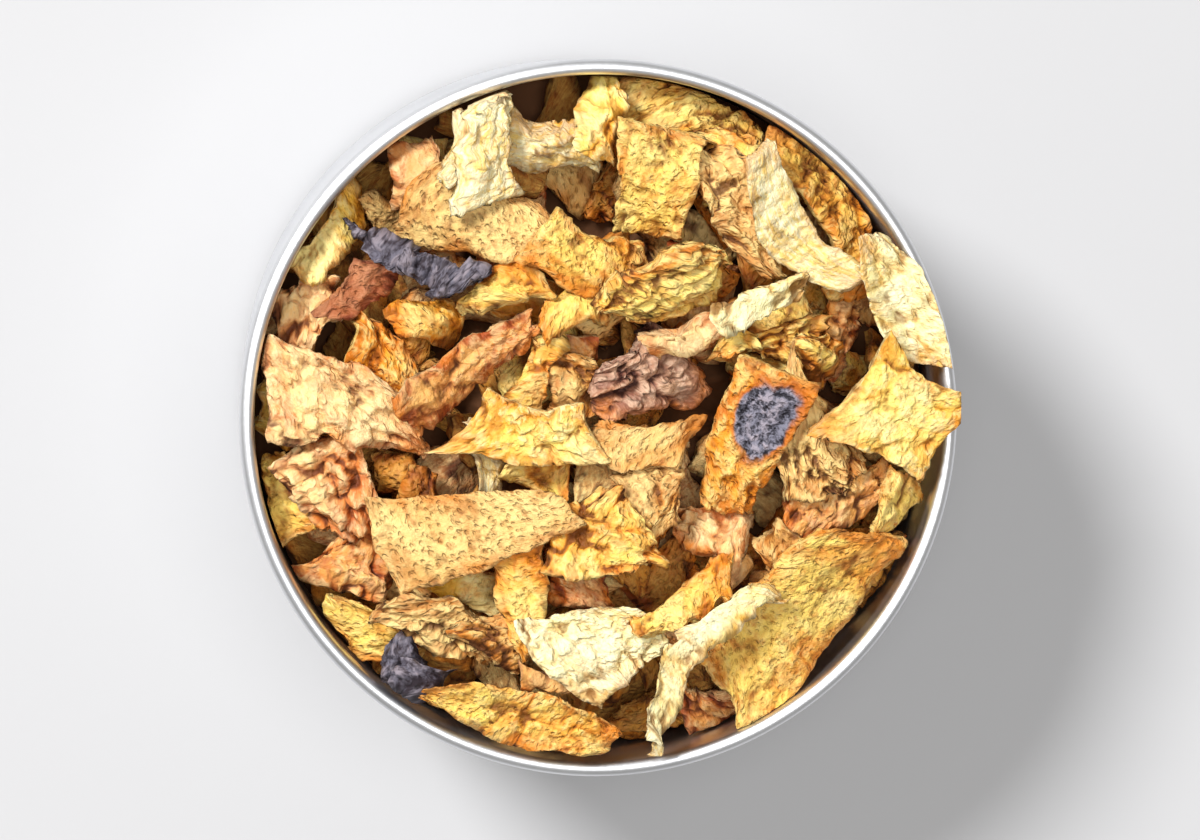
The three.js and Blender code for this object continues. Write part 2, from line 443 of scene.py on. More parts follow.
def peel_finish():
    """Shader node group: dried orange peel, its rind, pith, oil glands, creases and scorched spots, with
    painted shade in its hollows and creases, painted highlights on its ridges and in patches, and a
    painted glow along its edges.
    """
    group = bpy.data.node_groups.new("dried peel", "ShaderNodeTree")
    wanted = {
        "Place": "Vector",
        "Rind": "Float",
        "Rim": "Float",
        "Relief": "Float",
        "Tone": "Float",
        "Wrinkled": "Float",
        "Scorch": "Float",
        "Light Rind": "Color",
        "Deep Rind": "Color",
        "Blush": "Color",
        "Light Pith": "Color",
        "Deep Pith": "Color",
        "Hollow": "Color",
        "Blush Share": "Float",
        "Pits": "Float",
    }
    for name, kind in wanted.items():
        group.interface.new_socket(name, in_out="INPUT", socket_type="NodeSocket" + kind)
    for name, kind in {"Colour": "Color", "Roughness": "Float", "Height": "Float"}.items():
        group.interface.new_socket(name, in_out="OUTPUT", socket_type="NodeSocket" + kind)
    entry = group.nodes.new("NodeGroupInput")
    value = {name: out(entry, name) for name in wanted}
    place, rind, relief = value["Place"], value["Rind"], value["Relief"]

    drift = noise(group, place, 0.075, 1.0, 0.5)
    cloud = noise(group, place, 0.24, 3.0, 0.6)
    mottle = noise(group, place, 0.8, 3.0, 0.65)
    dust = noise(group, place, 2.2, 2.0, 0.7)
    warped = noise(group, place, 0.3, 4.0, 0.65, 1.0)
    pushed = add(group, "ShaderNodeTexNoise", {"Vector": place, "Scale": 0.8, "Detail": 2.0})
    pushed = {0: out(pushed, "Color"), 1: place}
    shifted = out(add(group, "ShaderNodeVectorMath", pushed, operation="ADD"))
    gland = cells(group, shifted, 1.15, voronoi_dimensions="2D")
    pit = 1 - (gland + dust * 0.2 - mottle * 0.2).step(0.04, 0.36)
    crinkle = 1 - abs(swing(group, place, 0.42, 2.0, 0.55)).step(0.0, 0.24)
    fibres = noise(group, scaled(group, place, (0.6, 2.6, 1.4)), 1.0, 4.0, 0.75)
    rim = value["Rim"]
    crumpled = (value["Wrinkled"] * 0.7 - 0.2).least(1).most(0)

    # The rind drifts at random between its light and deep colours and deepens towards the edge; it is
    # also deeper in the low parts of the relief, as painted shade.
    deeper = drift * 1.5 + cloud * 0.9 + mottle * 0.6 + rim * 0.25 - value["Tone"] * 0.5 - relief * 0.45
    skin = blend(group, deeper.step(0.85, 1.6), value["Light Rind"], value["Deep Rind"])
    # Painted highlight: pale patches at random places on the rind, lightened towards the pale pith
    # colour.
    painted_highlight_patches = noise(group, place, 0.17, 2.0)
    skin = blend(group, painted_highlight_patches.step(0.5, 0.66) * 0.5, skin, value["Light Pith"])
    # Painted shade: away from the pale patches, and a little more towards the edge, the rind deepens to
    # its deep orange.
    painted_shade_patches = (1 - painted_highlight_patches + rim**3 * 0.1).step(0.54, 0.72) * value["Blush Share"]
    skin = blend(group, painted_shade_patches * 0.75, skin, value["Deep Rind"])
    blush = (warped + drift * 0.3 + rim**4 * 0.2 - painted_highlight_patches * 0.3).step(0.5, 0.72) * value["Blush Share"]
    skin = blend(group, blush, skin, value["Blush"])
    pits = pit * value["Pits"] * (cloud * 2.6 - 0.8).least(1).most(0) * (1 - crumpled * 0.7)
    skin = blend(group, pits * 0.6, skin, value["Blush"])
    threads = (fibres * 0.8 + cloud * 0.3 + dust * 0.15).step(0.45, 0.75)
    flesh = blend(group, threads, value["Light Pith"], value["Deep Pith"])
    colour = blend(group, rind, flesh, skin)
    fringe = rim.step(0.86, 1.0) * mottle.step(0.4, 0.58)
    colour = blend(group, fringe * 0.4, colour, value["Light Pith"])
    # Painted highlight: the raised parts of the relief are lightened towards the pale pith colour.
    painted_highlight = relief.step(0.42, 0.9) * mottle.step(0.42, 0.58)
    colour = blend(group, painted_highlight * 0.6, colour, value["Light Pith"])
    # Painted glow: a vivid orange in places along the edge, left off the scorched kind.
    painted_edge_glow = noise(group, place, 0.15, 2.0).step(0.5, 0.62) * rim.step(0.5, 0.95)
    painted_edge_glow = painted_edge_glow * (value["Blush Share"] * 2.5 - 0.75).least(1).most(0)
    colour = blend(group, painted_edge_glow * 0.6, colour, (0.86, 0.25, 0.010, 1))
    # Painted shade: the low parts of the relief are coloured towards the kind's darkest colour.
    painted_hollow_shade = 1 - relief.step(0.12, 0.55)
    # Stains of the peel's own, with a little painted shade in the low parts of the relief, and painted
    # shade along the crinkle lines of the creases, both towards the blush colour.
    stains = (mottle + dust * 0.25 - relief * 0.1).step(0.57, 0.76)
    crease_shade_lines = crinkle * (0.06 + crumpled * 0.4)
    colour = blend(group, (stains * 0.45).most(crease_shade_lines), colour, value["Blush"])
    colour = blend(group, painted_hollow_shade * 0.85, colour, value["Hollow"])
    ash = (mottle + dust * 0.8 - cloud * 0.2).step(0.62, 0.92)
    char = blend(group, ash, (0.018, 0.016, 0.024, 1), (0.20, 0.195, 0.25, 1))
    # Painted highlight: the raised parts of the ash specks turn a pale lavender.
    char = blend(group, painted_highlight * ash * 0.6, char, (0.50, 0.42, 0.46, 1))
    colour = blend(group, value["Scorch"].step(0.05, 0.4) * 0.8, colour, value["Blush"])
    colour = blend(group, value["Scorch"].step(0.35, 0.7), colour, char)

    leave = group.nodes.new("NodeGroupOutput")
    join(group, leave.inputs["Colour"], colour)
    join(group, leave.inputs["Roughness"], 0.82 - rind * 0.22 + dust * 0.1)
    height = mottle * 0.75 + dust * 0.25 - pit * rind * value["Pits"] * 0.5 + fibres * (1 - rind) * 0.6
    height = height - crinkle * (0.03 + crumpled * 0.3)
    join(group, leave.inputs["Height"], height)
    return group


dried_peel = peel_finish()


def peel_material(name, **colours):
    """One kind of peel: the shared finish with that kind's own colours."""
    material, tree, shader = new_material(name, Specular_IOR_Level=0.35)
    finish = add(tree, "ShaderNodeGroup", node_tree=dried_peel)
    for socket, attribute in {
        "Rind": "rind",
        "Rim": "rim",
        "Relief": "relief",
        "Tone": "tone",
        "Wrinkled": "wrinkled",
        "Scorch": "scorch",
    }.items():
        stored = add(tree, "ShaderNodeAttribute", attribute_name=attribute)
        join(tree, finish.inputs[socket], out(stored, "Fac"))
    place = add(tree, "ShaderNodeAttribute", attribute_name="place")
    join(tree, finish.inputs["Place"], out(place, "Vector"))
    for socket, value in colours.items():
        value = (*value, 1) if isinstance(value, tuple) else value
        finish.inputs[socket.replace("_", " ")].default_value = value
    join(tree, shader.inputs["Base Color"], out(finish, "Colour"))
    join(tree, shader.inputs["Roughness"], out(finish, "Roughness"))
    bump(tree, shader, out(finish, "Height"), 1.0, 0.0007)
    return material


# Each kind's darkest colour is painted shade, laid into the low parts of its relief.
peel_kinds = {
    "golden": peel_material(
        "golden peel",
        Light_Rind=(0.95, 0.66, 0.14),
        Deep_Rind=(0.84, 0.3, 0.012),
        Blush=(0.52, 0.13, 0.008),
        Light_Pith=(0.97, 0.79, 0.29),
        Deep_Pith=(0.86, 0.46, 0.08),
        Hollow=(0.12, 0.0252, 0.0018),
        Blush_Share=0.75,
        Pits=0.6,
    ),
    "yellow": peel_material(
        "yellow peel",
        Light_Rind=(0.96, 0.76, 0.2),
        Deep_Rind=(0.96, 0.5, 0.03),
        Blush=(0.72, 0.22, 0.008),
        Light_Pith=(0.98, 0.86, 0.42),
        Deep_Pith=(0.88, 0.54, 0.12),
        Hollow=(0.216, 0.066, 0.0048),
        Blush_Share=0.6,
        Pits=0.3,
    ),
    "pink": peel_material(
        "pinkish peel",
        Light_Rind=(0.93, 0.63, 0.26),
        Deep_Rind=(0.7, 0.24, 0.05),
        Blush=(0.46, 0.095, 0.018),
        Light_Pith=(0.97, 0.74, 0.38),
        Deep_Pith=(0.66, 0.3, 0.1),
        Hollow=(0.09, 0.0168, 0.0036),
        Blush_Share=0.7,
        Pits=0.1,
    ),
    "tan": peel_material(
        "tan peel",
        Light_Rind=(0.92, 0.62, 0.22),
        Deep_Rind=(0.68, 0.29, 0.045),
        Blush=(0.42, 0.12, 0.016),
        Light_Pith=(0.94, 0.71, 0.29),
        Deep_Pith=(0.60, 0.32, 0.10),
        Hollow=(0.09, 0.021, 0.003),
        Blush_Share=0.6,
        Pits=0.7,
    ),
    "russet": peel_material(
        "russet peel",
        Light_Rind=(0.86, 0.44, 0.12),
        Deep_Rind=(0.6, 0.16, 0.014),
        Blush=(0.34, 0.045, 0.008),
        Light_Pith=(0.90, 0.62, 0.28),
        Deep_Pith=(0.48, 0.20, 0.055),
        Hollow=(0.066, 0.012, 0.0036),
        Blush_Share=0.8,
        Pits=0.25,
    ),
    "redbrown": peel_material(
        "red brown peel",
        Light_Rind=(0.40, 0.115, 0.035),
        Deep_Rind=(0.27, 0.05, 0.014),
        Blush=(0.20, 0.03, 0.012),
        Light_Pith=(0.58, 0.26, 0.12),
        Deep_Pith=(0.34, 0.11, 0.04),
        Hollow=(0.042, 0.0072, 0.003),
        Blush_Share=0.7,
        Pits=0.6,
    ),
    "dusky": peel_material(
        "dusky peel",
        Light_Rind=(0.66, 0.40, 0.24),
        Deep_Rind=(0.40, 0.19, 0.11),
        Blush=(0.23, 0.075, 0.05),
        Light_Pith=(0.80, 0.55, 0.38),
        Deep_Pith=(0.42, 0.2, 0.12),
        Hollow=(0.05, 0.012, 0.01),
        Blush_Share=0.7,
        Pits=0.4,
    ),
    "pale": peel_material(
        "pale peel",
        Light_Rind=(0.97, 0.88, 0.46),
        Deep_Rind=(0.97, 0.62, 0.1),
        Blush=(0.74, 0.32, 0.03),
        Light_Pith=(1.0, 0.96, 0.66),
        Deep_Pith=(0.95, 0.68, 0.2),
        Hollow=(0.228, 0.084, 0.012),
        Blush_Share=0.5,
        Pits=0.25,
    ),
    "dark": peel_material(
        "scorched peel",
        Light_Rind=(0.075, 0.06, 0.08),
        Deep_Rind=(0.006, 0.004, 0.01),
        Blush=(0.05, 0.025, 0.03),
        Light_Pith=(0.45, 0.41, 0.45),
        Deep_Pith=(0.02, 0.015, 0.03),
        Hollow=(0.0036, 0.0024, 0.0054),
        Blush_Share=0.3,
        Pits=0.4,
    ),
    # Painted shade: a darker copy of the peel, for flakes that lie low in the gaps.
    "shade_darkened": peel_material(
        "shaded peel",
        Light_Rind=(0.62, 0.26, 0.03),
        Deep_Rind=(0.36, 0.09, 0.006),
        Blush=(0.25, 0.04, 0.004),
        Light_Pith=(0.66, 0.36, 0.08),
        Deep_Pith=(0.36, 0.12, 0.015),
        Hollow=(0.03, 0.0048, 0.0006),
        Blush_Share=0.7,
        Pits=0.8,
    ),
}
flake_tree = flake_shape_tree()


def cut_flake(kind, **sizes):
    """One flake as a plain mesh about its own middle, from the Geometry Nodes tree."""
    blank = placed("peel blank", bpy.data.meshes.new("peel blank"))
    shaping = blank.modifiers.new("shape", "NODES")
    shaping.node_group = flake_tree
    for socket in flake_tree.interface.items_tree:
        if socket.name in sizes:
            shaping[socket.identifier] = float(sizes[socket.name])
        if socket.name == "Material":
            shaping[socket.identifier] = peel_kinds[kind]
    graph = bpy.context.evaluated_depsgraph_get()
    mesh = bpy.data.meshes.new_from_object(blank.evaluated_get(graph))
    bpy.data.objects.remove(blank)
    return mesh


# The heap: flakes tipped into the tin, each lying where it fell across those below it. Every flake is
# let down onto the ground of the flakes laid before it, and rocks until its middle is as low as it gets.
GROUND_CELL = 0.8
GROUND_HALF = 42.0
CLEARANCE = 0.35  # between the peel and the wall
RIM_REACH = 0.3  # how far outside the bore the ground is the tin's own rim
RIM_GAP = 0.05  # between the rim and a flake that lies over it
COVER = 0.5  # thinnest that a flake gets over what presses into it from below
COVERED_SHARE = 0.99  # of a flake that has to keep that much
REST_SHARE = 0.86  # of a flake's underside that stays clear of the ground
SAG = 0.35  # how much of the gap beneath it a flake gives way to
SAG_SCALE = 10  # millimetres to one unit of the sag's own shape
EDGE_SHARE = 0.06  # of a flake's points that the wall may bend
WALL_TRIES = 3
WALL_GAP = 0.05  # how far inside its reach a flake is pushed
ROCK_STEPS = (14, 9, 6, 4, 2.5)  # degrees
ROCK_TRIES = 3  # at each of those
ROCK_LIMIT = 38  # degrees from how it was let go
ROCK_GAIN = 0.01  # least that rocking has to bring, in millimetres
MIDDLE_SHARE = 0.7  # how much lying low counts for a flake's middle
TOP_SHARE = 0.3  # and for its highest point
ground_side = int(2 * GROUND_HALF / GROUND_CELL)
middles = (np.arange(ground_side) + 0.5) * GROUND_CELL - GROUND_HALF
ground_x, ground_y = np.meshgrid(middles, middles, indexing="ij")
ground_radius = np.hypot(ground_x, ground_y)
heap_room = bore_radius - CLEARANCE

CORE_EDGE = 22.0  # height at the wall
CORE_RISE = 8.0
LEAN = 27.0  # steepest that a flake is let go, in degrees
SETTLE_FROM = 40.0
SETTLE_SHARE = 0.6


def core_height(radius):
    """How high the unseen middle of the heap stands at a distance from the axis."""
    return CORE_EDGE + CORE_RISE * (1 - (radius / heap_room) ** 2)


ground = np.where(ground_radius > bore_radius + RIM_REACH, tin_height, core_height(ground_radius))
laid = {kind: [] for kind in peel_kinds}


def ground_cells(points):
    """Which cell of the ground each point stands over."""
    steps = np.floor((points[:, :2] + GROUND_HALF) / GROUND_CELL).astype(int)
    steps = np.clip(steps, 0, ground_side - 1)
    return steps[:, 0] * ground_side + steps[:, 1]


def stand(points):
    """How far a flake has to be lifted to lie on the ground, which may press into its underside."""
    touched = ground_cells(points)
    lowest = np.full(ground.size, np.inf)
    highest = np.full(ground.size, -np.inf)
    np.minimum.at(lowest, touched, points[:, 2])
    np.maximum.at(highest, touched, points[:, 2])
    under = np.isfinite(lowest)
    to_touch = ground.ravel()[under] - lowest[under]
    to_cover = ground.ravel()[under] - highest[under] + COVER
    lift = max(np.quantile(to_touch, REST_SHARE), np.quantile(to_cover, COVERED_SHARE))
    over_rim = np.hypot(points[:, 0], points[:, 1]) > bore_radius - RIM_GAP
    if over_rim.any():
        lift = max(lift, tin_height + RIM_GAP - points[over_rim, 2].min())
    return lift


def draped(points):
    """A flake's points sagged towards the ground as its whole shape allows, and let down again."""
    touched = ground_cells(points)
    lowest = np.full(ground.size, np.inf)
    np.minimum.at(lowest, touched, points[:, 2])
    under = np.isfinite(lowest)
    gap = lowest[under] - ground.ravel()[under]
    middle = points.mean(0)

    def terms(x, y):
        x = (x - middle[0]) / SAG_SCALE
        y = (y - middle[1]) / SAG_SCALE
        return np.stack([np.ones_like(x), x, y, x * x, x * y, y * y], 1)

    beneath = terms(ground_x.ravel()[under], ground_y.ravel()[under])
    shape = np.linalg.lstsq(beneath, gap, rcond=None)[0]
    sagged = points.copy()
    sagged[:, 2] -= SAG * (terms(points[:, 0], points[:, 1]) @ shape)
    sagged[:, 2] += stand(sagged)
    return sagged


def kept_inside(points, reach):
    """A flake's points moved inwards off the wall, with the last of its edge bent along the wall."""
    points = points.copy()
    for _ in range(WALL_TRIES):
        radii = np.hypot(points[:, 0], points[:, 1])
        over = radii > reach
        if over.sum() < EDGE_SHARE * len(points):
            break
        inward = -points[over, :2].mean(0)
        inward /= np.hypot(*inward)
        points[:, :2] += inward * (np.quantile(radii, 1 - EDGE_SHARE) - reach + WALL_GAP)
    radii = np.hypot(points[:, 0], points[:, 1])
    points[:, :2] *= np.minimum(1, reach / radii)[:, None]
    return points


def tipped(points, pitch, roll):
    """Points turned about the level axes through their middle, in degrees."""
    turn = Matrix.Rotation(math.radians(pitch), 3, "Y")
    turn = turn @ Matrix.Rotation(math.radians(roll), 3, "X")
    return points @ np.array(turn).T


def habit(seed):
    """The shape that one flake has dried to where nothing else is asked of it, and how it is let go."""
    chance = np.random.default_rng(seed)
    ranges = {
        "Taper": (-0.45, 0.45),
        "Near Slant": (-0.7, 0.7),
        "Far Slant": (-0.7, 0.7),
        "Bow": (-0.12, 0.12),
        "Curl": (0.3, 1.1),
        "Cup": (0.2, 0.9),
        "Twist": (-0.6, 0.6),
        "Wrinkle": (0.7, 1.4),
        "Thickness": (1.4, 2.3),
    }
    drawn = {name: chance.uniform(*span) for name, span in ranges.items()}
    return drawn, tuple(chance.uniform(-LEAN, LEAN, 2))


def settled(height):
    """A height in the heap once its own weight has pressed it together above the rim."""
    pressed = SETTLE_FROM + (height - SETTLE_FROM) * SETTLE_SHARE
    return np.where(height < SETTLE_FROM, height, pressed)


TONE_STEP = 0.37  # from one seed's tone to the next


def lay(
    kind, x, y, length, width, heading, seed, lean=None, reach=None, up="rind", rock=0.45, **shape
):
    """Makes one flake and lets it down onto the heap. Its length points along its heading, in degrees.

    It may rock by its rock share to lie lower, and reaches no farther from the axis than its reach.
    """
    sizes, thrown = habit(seed)
    sizes.update({"Length": length, "Width": width, "Seed": seed, "Tone": (seed * TONE_STEP) % 1})
    sizes.update({name.replace("_", " ").title(): value for name, value in shape.items()})
    mesh = cut_flake(kind, **sizes)
    points = np.empty(len(mesh.vertices) * 3, np.float32)
    mesh.vertices.foreach_get("co", points)
    points = points.reshape(-1, 3).astype(float) / MM
    points -= points.mean(0)
    if up == "pith":
        points[:, 1:] *= -1
    first = tipped(points, *(lean or thrown))
    turn = np.array(Matrix.Rotation(math.radians(heading), 3, "Z"))
    first = first @ turn.T
    reach = reach or heap_room

    def let_down(pitch, roll):
        """How high the flake lies after rocking that far, and its points."""
        lying = kept_inside(tipped(first, pitch, roll) + (x, y, 0), reach)
        lying[:, 2] += stand(lying)
        height = lying[:, 2].mean() * MIDDLE_SHARE + lying[:, 2].max() * TOP_SHARE
        return height, lying

    pitch, roll = 0.0, 0.0
    lowest, lying = let_down(pitch, roll)
    for size in ROCK_STEPS:
        size = size * rock
        for _ in range(ROCK_TRIES):
            tries = []
            for way in ((size, 0), (-size, 0), (0, size), (0, -size)):
                if math.hypot(pitch + way[0], roll + way[1]) < ROCK_LIMIT * rock:
                    tries.append((*let_down(pitch + way[0], roll + way[1]), way))
            best = min(tries, key=lambda found: found[0], default=(lowest,))
            if best[0] >= lowest - ROCK_GAIN:
                break
            lowest, lying = best[0], best[1]
            pitch, roll = pitch + best[2][0], roll + best[2][1]
    lying = draped(lying)
    np.maximum.at(ground.reshape(-1), ground_cells(lying), lying[:, 2])
    lying[:, 2] = settled(lying[:, 2])
    mesh.vertices.foreach_set("co", (lying * MM).astype(np.float32).ravel())
    mesh.update()
    laid[kind].append(mesh)


chance = np.random.default_rng(7)


def draw(low, high):
    """A chance number between two others."""
    return float(chance.uniform(low, high))


# The flakes below, of which only parts show in the gaps. Even steps of the golden ratio spread them.
UNDER_FLAKES = 60
GOLDEN_ANGLE = math.pi * (3 - math.sqrt(5))
GOLDEN_STEP = 0.618034
WALL_MARGIN = 2  # from the wall to the middle of such a flake
UNDER_SPREAD = 0.42  # below a half, so that more of them lie near the wall than in the middle
UNDER_TURN = 1.7
# Most of them are in the darker copy of the peel, which paints the shade they lie in.
for i in range(UNDER_FLAKES):
    radius = (heap_room - WALL_MARGIN) * ((i * GOLDEN_STEP) % 1) ** UNDER_SPREAD
    around = i * GOLDEN_ANGLE * UNDER_TURN
    lay(
        str(chance.choice(["shade_darkened", "golden", "tan", "russet"], p=[0.55, 0.15, 0.15, 0.15])),
        radius * math.cos(around),
        radius * math.sin(around),
        draw(9, 16),
        draw(5, 9),
        draw(0, 360),
        seed=100 + i,
        up="rind" if draw(0, 1) < 0.6 else "pith",
        rock=1.0,
        spacing=0.8,
    )

# Broken bits, which fill the hollows between them.
BITS = 70
BIT_TURN = 2.3
for i in range(BITS):
    radius = (heap_room - WALL_MARGIN) * math.sqrt((i * GOLDEN_STEP) % 1)
    around = i * GOLDEN_ANGLE * BIT_TURN
    lay(
        str(chance.choice(["golden", "tan", "russet", "shade_darkened"])),
        radius * math.cos(around),
        radius * math.sin(around),
        draw(4, 8),
        draw(2.5, 5),
        draw(0, 360),
        seed=300 + i,
        up="rind" if draw(0, 1) < 0.5 else "pith",
        rock=1.0,
        spacing=0.5,
        ragged=0.6,
    )

# The flakes on top, from the lowest to the highest: kind, place, length, width, heading and seed.
CHARRED = {"scorch": 0.55, "scorch_size": 90}
lay("yellow", -36.8, 1, 8, 3.5, 88, 1)
lay("golden", -35.3, -9, 11, 4.5, 105, 2, cup=0.8)
lay("pink", -32, 11.2, 8.5, 7, 35, 3, near_slant=0.6, wrinkle=1.6)
lay("yellow", -30, 20, 12, 3.8, 56, 4, cup=0.9, tone=0.2)
lay("tan", -24.2, 22.5, 6.5, 3.2, -60, 5)
lay("pink", -20, 27, 7, 5.5, -80, 6, taper=0.2, lean=(14, 0), rock=0.3)
lay("golden", 10.5, 34.3, 17, 6.2, -22, 7, taper=-0.35, belly=0.2, lean=(0, -14), wrinkle=1.3, tone=0.3)
lay("golden", 15, 30, 7, 2.6, -40, 108, curl=0.9)
lay("russet", 27, -9, 13.5, 5.5, 20, 8, ribs=0.2, thickness=2.6, wrinkle=1.5)
lay("golden", 33, -9.5, 7, 5, 60, 110)
lay("russet", 27, 9, 13.5, 4.2, 80, 9, cup=0.9)
lay("golden", 20.5, 8.5, 7, 5.5, 10, 10, curl=0.9, wrinkle=1.7)
lay("golden", 14.5, 9, 5, 4, 60, 117, curl=0.9, wrinkle=1.7)
lay("golden", 24, 7.5, 6, 4.5, -30, 118, wrinkle=1.6)
lay("yellow", -14, -19, 10.5, 4.5, -32, 11, tone=0.1)
lay("russet", -27, -17, 10, 5.8, -22, 12, curl=0.9, wrinkle=1.7)
lay("golden", -26, -24, 8.5, 6.6, -65, 13, cup=0.9)
lay("dark", -21.8, -26.6, 4.4, 3.8, -70, 14, wrinkle=1.9, curl=1.2, thickness=3.4, **CHARRED)
lay("dark", -20.2, -28.9, 3.4, 2.8, -20, 114, wrinkle=1.9, curl=1.2, thickness=3.0, **CHARRED)
lay("tan", -16.5, -22.6, 14, 6, -28, 15, wrinkle=1.8, cup=0.9, thickness=2.6)
lay("tan", -12, -24.5, 9, 3.6, -25, 119, wrinkle=1.8, thickness=2.2)
lay("russet", -5, -29, 9, 2.2, -20, 113, cup=0.8)
lay("russet", -2.5, -18, 7.5, 6.4, -10, 16, curl=0.8, tone=0.1)
lay("pink", 12.5, -12.8, 9.5, 5, -20, 17, wrinkle=1.7, thickness=2.4, tone=0.1)
lay("tan", 5.5, -8.8, 8.5, 7, -70, 18, wrinkle=1.4, tone=0.2)
lay("tan", -2.8, 3.6, 7.5, 5, -60, 19, wrinkle=1.8, thickness=2.6)
lay("golden", -7.2, 6, 11, 3.2, 82, 20, cup=1.0, rock=0.3)
lay("golden", -3.3, 12.4, 8, 4.2, 20, 21, curl=1.4, bow=-0.35, rock=0.3)
lay("pale", -12.4, -4.2, 8, 3.8, -85, 22, up="pith")
lay("golden", -6.5, -6, 7.5, 4.8, -30, 23, near_slant=0.5, lean=(20, 0), rock=0.2)
lay("pink", -29, -8, 12, 8.6, -62, 24, taper=-0.45, curl=1.0, wrinkle=2.0, thickness=2.2, tone=0.2)
lay("golden", -24.3, 6.6, 9.5, 6.2, -50, 25, fold=0.7, taper=-0.5, lean=(14, -16), rock=0.3, tone=0.1)
lay(
    "golden", -19.3, 11, 9.5, 5.4, -15, 26, fold=0.8, near_slant=-0.6, lean=(-10, -14), rock=0.3,
    tone=0.1
)
lay(
    "redbrown", -27, 14.5, 8, 5.2, 55, 27, taper=0.0, near_slant=-0.3, far_slant=-0.3, curl=0.3,
    lean=(-12, 12), rock=0.3
)
lay("golden", -11, 14.2, 9.5, 4, 28, 120, cup=0.8, tone=0.0)
lay(
    "pink", -28, 1.6, 19.5, 9.6, -17, 28, taper=-0.3, near_slant=-0.35, far_slant=-0.5, curl=0.55,
    tone=0.9, rock=0.4, wrinkle=1.3
)
lay("russet", -14.7, 6, 18.5, 5.2, 38, 29, belly=0.35, cup=0.8, lean=(0, 22), rock=0.3)
lay(
    "tan", -13, 22.2, 19.5, 8.2, -10, 30, taper=-0.25, near_slant=0.2, far_slant=-0.75,
    end_belly=0.15, curl=0.3, wrinkle=0.4, rock=0.4, tone=0.9, lean=(0, 14), ragged=0.6
)
lay("dark", -26.2, 20.4, 4.6, 1.6, -42, 31, wrinkle=1.5, cup=1.2, thickness=1.6, **CHARRED)
lay("dark", -23.2, 18.6, 4.4, 2.2, -28, 121, wrinkle=1.9, cup=1.2, thickness=2.4, **CHARRED)
lay("dark", -20.0, 16.9, 4.6, 3.0, -15, 115, wrinkle=2.0, cup=1.2, thickness=3.0, **CHARRED)
lay("dark", -16.6, 15.4, 4.4, 3.0, -5, 116, wrinkle=2.0, cup=1.2, thickness=3.0, **CHARRED)
lay(
    "pale", -7.2, 30.3, 16, 5.2, -4, 32, curl=0.5, up="pith", thickness=2.6, rock=0.4, lean=(0, 18),
    bow=0.12, tone=0.3
)
lay("yellow", 0.2, 34.3, 9.5, 3.8, 76, 33, tone=0.5, wrinkle=1.4)
lay("pale", -15.7, 29.8, 6.5, 4.6, 55, 122, up="pith", thickness=2.0)
lay(
    "pale", -13.2, 32.6, 13, 5.4, 84, 34, up="pith", ribs=0.16, thickness=2.4, cup=0.5, curl=0.2,
    twist=0.1, lean=(0, 0), rock=0.9
)
lay(
    "golden", -1, 18, 15, 7.4, -12, 35, taper=-0.1, near_slant=0.3, far_slant=-0.4, curl=0.4,
    rock=0.4, tone=0.5, wrinkle=0.7
)
lay("tan", 15.4, 23, 15.5, 6.6, -58, 36, wrinkle=1.9, curl=0.7, belly=0.4, thickness=2.8, rock=0.4)
lay(
    "golden", 6, 26.6, 13.5, 9.6, 80, 37, taper=0.06, near_slant=-0.25, far_slant=0.15, curl=0.35,
    tone=0.8, rock=0.4, wrinkle=0.8, lean=(-10, 0), ragged=0.6
)
lay("golden", 25.6, 23.8, 21, 6, -57, 38, bow=-0.3, cup=0.8, tone=0.1, rock=0.4, ragged=0.5)
lay(
    "pale", 21.4, 21.8, 19.5, 5.8, -53, 39, bow=-0.3, belly=0.25, taper=0, near_slant=0, far_slant=0,
    twist=0, up="pith", ribs=0.2, cup=-0.6, thickness=2.4, rock=0.3, ragged=0.4
)
lay(
    "pale", 33.2, 13.6, 16.5, 7.6, -66, 40, reach=39.4, curl=0.4, belly=0.4, near_slant=0.3,
    rock=0.9, ragged=0.5, lean=(0, 0)
)
lay("dusky", 4.8, 5, 11, 8.8, 12, 41, wrinkle=1.9, curl=0.6, thickness=2.4, tone=0.2, end_belly=0.2)
lay("tan", 4.6, -2.5, 11.5, 5.4, 0, 42, near_slant=0.5, curl=0.4, tone=0.5, wrinkle=0.7)
lay(
    "golden", 6.6, 15.2, 14, 8, 34, 43, curl=0.8, belly=0.45, wrinkle=1.8, thickness=2.6, rock=0.4,
    tone=0.7
)
lay("pink", 10, 9.9, 10, 3.2, 20, 44, cup=1.0, rock=0.4)
lay("pale", 17.4, 13.3, 11.5, 3.6, 18, 45, belly=0.4, rock=0.4)
lay(
    "tan", 24.8, -3.2, 11.5, 10, -35, 46, taper=-0.6, curl=0.5, wrinkle=1.7, rock=0.3, lean=(10, 0),
    tone=0.6
)
lay(
    "golden", 16.5, -2, 18.5, 8.4, 68, 47, near_slant=0.25, far_slant=0.1, curl=0.35, wrinkle=0.9,
    rock=0.3, tone=0.0, scorch=1.0, scorch_along=3.2, scorch_across=-0.9, scorch_size=5.4,
    ragged=0.6
)
lay(
    "yellow", 33.4, 1.0, 11.5, 10.5, -30, 48, reach=40.1, belly=-0.35, end_belly=-0.3, curl=0.3,
    tone=0.7, rock=0.9, ragged=0.5, lean=(0, 0), twist=0.1
)
lay(
    "yellow", -8, -1, 13.8, 6, -4, 49, curl=0.5, belly=-0.3, near_slant=0.7, far_slant=-0.6,
    end_belly=-0.2, tone=0.9, rock=0.35, lean=(0, 12), ragged=0.5
)
lay("tan", 20, -14, 5.5, 3.8, 40, 50)
lay("shade_darkened", 7.5, -33.5, 10, 5.5, -5, 59, rock=1.0)
lay("russet", 14.5, -32.5, 9, 4.5, 20, 60, rock=1.0)
lay("shade_darkened", 32, -17, 10, 4.5, 62, 61, rock=1.0)
